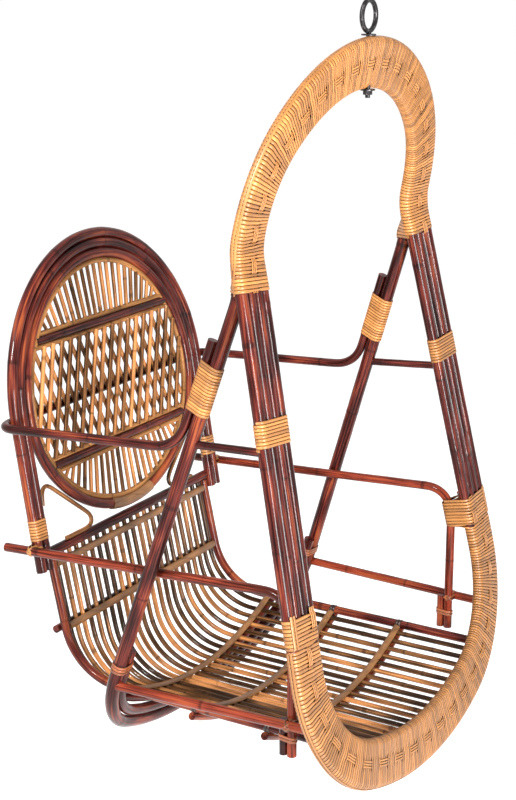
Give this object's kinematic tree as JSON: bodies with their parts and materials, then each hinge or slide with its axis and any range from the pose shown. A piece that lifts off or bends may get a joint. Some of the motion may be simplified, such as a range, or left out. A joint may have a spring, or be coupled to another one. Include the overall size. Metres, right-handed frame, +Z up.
{
  "type": "hanging cane chair",
  "caption": "Hanging chair of bent cane: a wrapped pear-shaped hoop with an iron eye, braced by a rear hoop, carries a scooped slat seat, arms and an oval latticed back.",
  "frame": {"origin": "centre of the hanging eye", "axes": "+Z up, the sitter faces -Y, X runs across the chair"},
  "size_m": [0.758, 0.7203, 1.2855],
  "materials": {
    "mahogany_cane": "glossy red-brown stain",
    "red_cane": "glossy brighter red-brown stain",
    "slat_cane": "lacquered brown cane",
    "fan_cane": "lacquered light brown cane",
    "natural_cane": "lacquered natural cane",
    "natural_peel": "lacquered honey peel",
    "stained_peel": "lacquered orange-brown peel",
    "black_iron": "worn black"
  },
  "bodies": {
    "hanger": {"hanger_eye": "black_iron", "hanger_washers": "black_iron", "hanger_nut": "black_iron"},
    "chair": {"arch_cover": "natural_peel", "arm_loop": "mahogany_cane", "back_bar_lower": "mahogany_cane", "back_bar_trim_lower": "natural_cane", "back_bar_trim_upper": "natural_cane", "back_bar_upper": "mahogany_cane", "back_oval": "mahogany_cane", "back_oval_inner": "natural_cane", "back_stile_inner": "mahogany_cane", "back_stile_outer": "mahogany_cane", "bottom_cover": "natural_peel", "cross_cane_1": "mahogany_cane", "cross_cane_2": "mahogany_cane", "cross_cane_3": "mahogany_cane", "cross_cane_back": "mahogany_cane", "foot_binding_left": "stained_peel", "foot_binding_right": "stained_peel", "hoop_cane_1": "mahogany_cane", "hoop_cane_2": "mahogany_cane", "hoop_cane_3": "mahogany_cane", "hoop_cane_4": "mahogany_cane", "lattice_front": "fan_cane", "lattice_rear": "fan_cane", "leg_winding_left": "natural_peel", "leg_winding_right": "natural_peel", "oval_splice": "natural_cane", "post_binding_left": "stained_peel", "post_binding_right": "stained_peel", "post_stub_left": "mahogany_cane", "post_stub_right": "mahogany_cane", "rear_hoop": "mahogany_cane", "rear_hoop_doubler": "mahogany_cane", "scroll_left": "slat_cane", "scroll_right": "slat_cane", "seat_frame_left": "mahogany_cane", "seat_frame_right": "mahogany_cane", "seat_lath_1": "natural_cane", "seat_lath_2": "natural_cane", "seat_lath_3": "natural_cane", "seat_lath_back": "natural_cane", "seat_lath_top": "natural_cane", "seat_slats": "slat_cane", "seat_top_rail": "mahogany_cane", "shoulder_winding_left": "natural_peel", "shoulder_winding_right": "natural_peel", "side_rail_left": "red_cane", "side_rail_right": "red_cane", "spokes_lower": "fan_cane", "spokes_upper": "fan_cane", "stile_winding_left": "natural_peel", "stile_winding_right": "natural_peel", "stretcher_left": "red_cane", "stretcher_right": "red_cane", "strut_winding_left": "natural_peel", "strut_winding_right": "natural_peel", "upper_brace_left": "mahogany_cane", "upper_brace_right": "mahogany_cane"}
  },
  "joints": [
    {"name": "hanger_swivel", "type": "hinge", "parent": "hanger", "child": "chair", "pos_m": [0, 0, 0], "axis": [0, 0, 1], "continuous": true}
  ]
}
